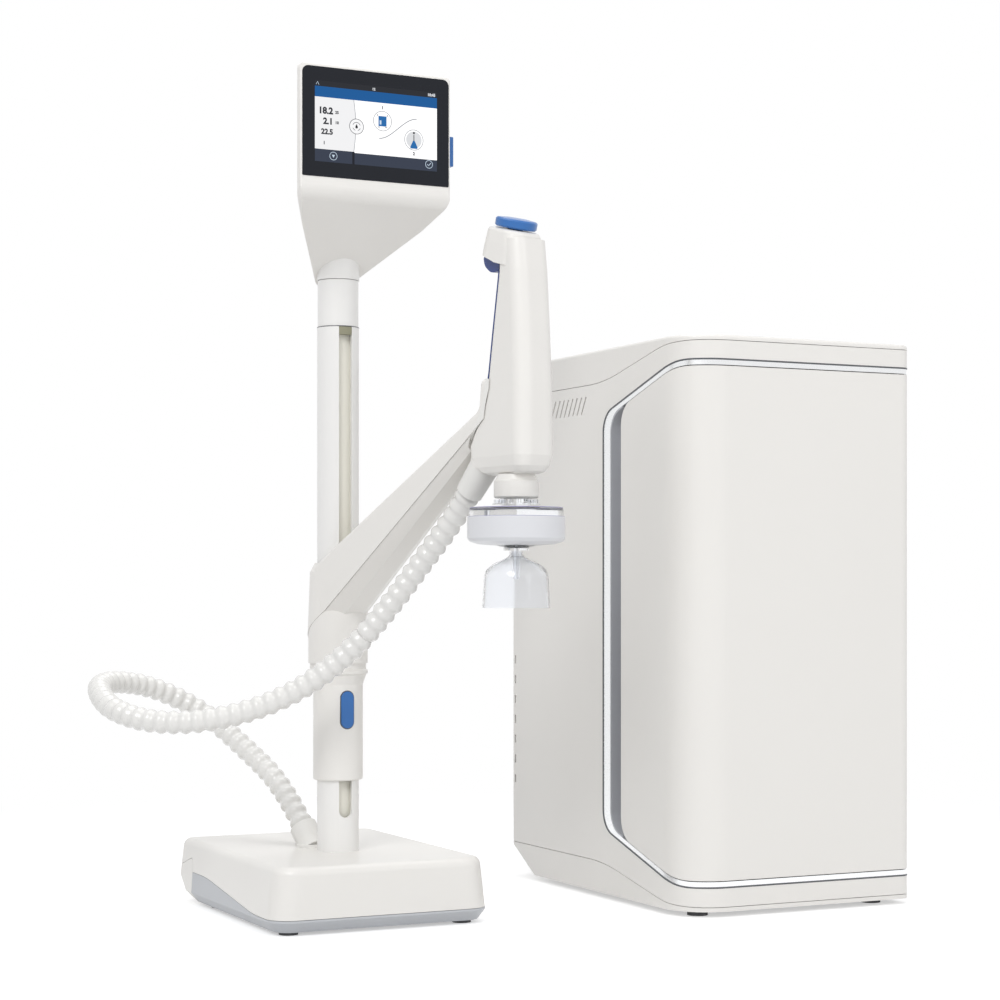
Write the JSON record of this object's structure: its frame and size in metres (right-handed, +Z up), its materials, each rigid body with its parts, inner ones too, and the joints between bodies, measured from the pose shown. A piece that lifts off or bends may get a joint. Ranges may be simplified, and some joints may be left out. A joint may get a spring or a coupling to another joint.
{
  "type": "ultrapure water system",
  "caption": "Bench water purifier cabinet beside a dispensing stand with a touch screen head, a sliding swivelling arm, a docked handset with final filter and a ribbed hose.",
  "frame": {"origin": "on the bench, under the middle of the box around the object without its hose", "axes": "+Z up, +X right along both fronts, fronts face -Y; the cabinet is on the +X side"},
  "size_m": [0.6831, 0.4594, 0.711],
  "materials": {
    "white_plastic": "satin",
    "grey_shell": "satin",
    "recess_grey": "matt",
    "bright_trim": "polished",
    "rubber": "matt",
    "steel": "brushed",
    "sheet_metal": "powder coat",
    "cartridge": "gloss",
    "dark_plastic": "matt",
    "board_green": "matt",
    "brass": "plain",
    "cast_iron": "painted",
    "column_white": "powder coat",
    "rail": "matt",
    "slot_block": "matt",
    "black_glass": "polished",
    "display": "lit",
    "blue": "gloss",
    "navy": "gloss",
    "soft_white": "satin",
    "hose_white": "gloss",
    "clear": "clear",
    "milky": "satin",
    "aluminium": "plain"
  },
  "bodies": {
    "cabinet_and_stand": {"cabinet_shell": "white_plastic", "cabinet_lid": "white_plastic", "cabinet_plinth": "white_plastic", "door_trim": "bright_trim", "finger_recess": "recess_grey", "door_hinges": "steel", "chassis_tray": "sheet_metal", "bulkhead": "sheet_metal", "rubber_feet": "rubber", "purification_cartridges": "cartridge", "cartridge_manifold": "dark_plastic", "circulation_pump": "aluminium", "uv_lamp_housing": "steel", "power_supply": "sheet_metal", "control_board": "board_green", "solenoid_valves": "brass", "resistivity_cell": "dark_plastic", "rear_panel": "grey_shell", "water_ports": "dark_plastic", "mains_inlet": "dark_plastic", "base_cover": "white_plastic", "base_lower_shell": "grey_shell", "base_rear_tab": "white_plastic", "ballast_plate": "cast_iron", "column": "column_white", "slot_rail": "rail", "slot_block": "slot_block", "column_collar": "column_white", "hose_gland": "soft_white", "dispense_hose": "hose_white"},
    "door": {"door_panel": "white_plastic"},
    "head": {"head_front_shell": "white_plastic", "head_rear_shell": "white_plastic", "screen_glass": "black_glass", "display_panel": "display", "head_neck": "column_white"},
    "data_key": {"data_key": "blue"},
    "carriage": {"carriage_sleeve": "white_plastic", "swivel_ring": "white_plastic"},
    "release_button": {"release_button": "blue"},
    "arm": {"arm_upper_shell": "white_plastic", "arm_lower_shell": "white_plastic", "cradle_pad": "soft_white", "arm_bush": "dark_plastic"},
    "handset": {"handset_front_shell": "white_plastic", "handset_rear_shell": "white_plastic", "grip_inlay": "navy", "hose_cuff": "soft_white", "trigger_pin": "steel", "dispensing_valve": "milky", "outlet_neck": "white_plastic", "outlet_ring": "white_plastic"},
    "trigger": {"trigger": "navy"},
    "dispense_disc": {"dispense_disc": "blue"},
    "filter": {"filter_cap": "clear", "filter_band": "milky", "membrane_stack": "milky", "filter_outlet": "clear"},
    "splash_bell": {"splash_bell": "clear"}
  },
  "joints": [
    {"name": "carriage_slide", "type": "slide", "parent": "cabinet_and_stand", "child": "carriage", "axis": [0, 0, 1], "range_m": [-0.055, 0.165], "deforming": ["dispense_hose"]},
    {"name": "release_button_press", "type": "slide", "parent": "carriage", "child": "release_button", "axis": [0, 1, 0], "range_m": [0, 0.0015], "stiffness_N_per_m": 600, "springref_m": -0.0008},
    {"name": "arm_swivel", "type": "hinge", "parent": "carriage", "child": "arm", "pos_m": [-0.195, 0.03848, 0.26], "axis": [0, 0, 1], "range_deg": [-90, 25], "deforming": ["dispense_hose"]},
    {"name": "handset_pull", "type": "slide", "parent": "arm", "child": "handset", "axis": [0.2419, -0.9703, 0], "range_m": [0, 0.06], "deforming": ["dispense_hose"]},
    {"name": "trigger_pull", "type": "hinge", "parent": "handset", "child": "trigger", "pos_m": [-0.13936, -0.18469, 0.537], "axis": [0.9703, 0.2419, 0], "range_deg": [0, 8], "stiffness_Nm_per_rad": 0.3, "springref_deg": -2.86},
    {"name": "disc_press", "type": "slide", "parent": "handset", "child": "dispense_disc", "axis": [-0.0626, 0.2511, -0.9659], "range_m": [0, 0.0008], "stiffness_N_per_m": 600, "springref_m": -0.001},
    {"name": "filter_pull", "type": "slide", "parent": "handset", "child": "filter", "axis": [0, 0, -1], "range_m": [0, 0.02]},
    {"name": "bell_pull", "type": "slide", "parent": "filter", "child": "splash_bell", "axis": [0, 0, -1], "range_m": [0, 0.03]},
    {"name": "head_swivel", "type": "hinge", "parent": "cabinet_and_stand", "child": "head", "pos_m": [-0.195, 0.03848, 0.56], "axis": [0, 0, 1], "range_deg": [-90, 90]},
    {"name": "data_key_pull", "type": "slide", "parent": "head", "child": "data_key", "axis": [1, 0, 0], "range_m": [0, 0.015]},
    {"name": "door_hinge", "type": "hinge", "parent": "cabinet_and_stand", "child": "door", "pos_m": [0.2861, -0.10332, 0.25], "axis": [0, 0, 1], "range_deg": [0, 100]}
  ]
}
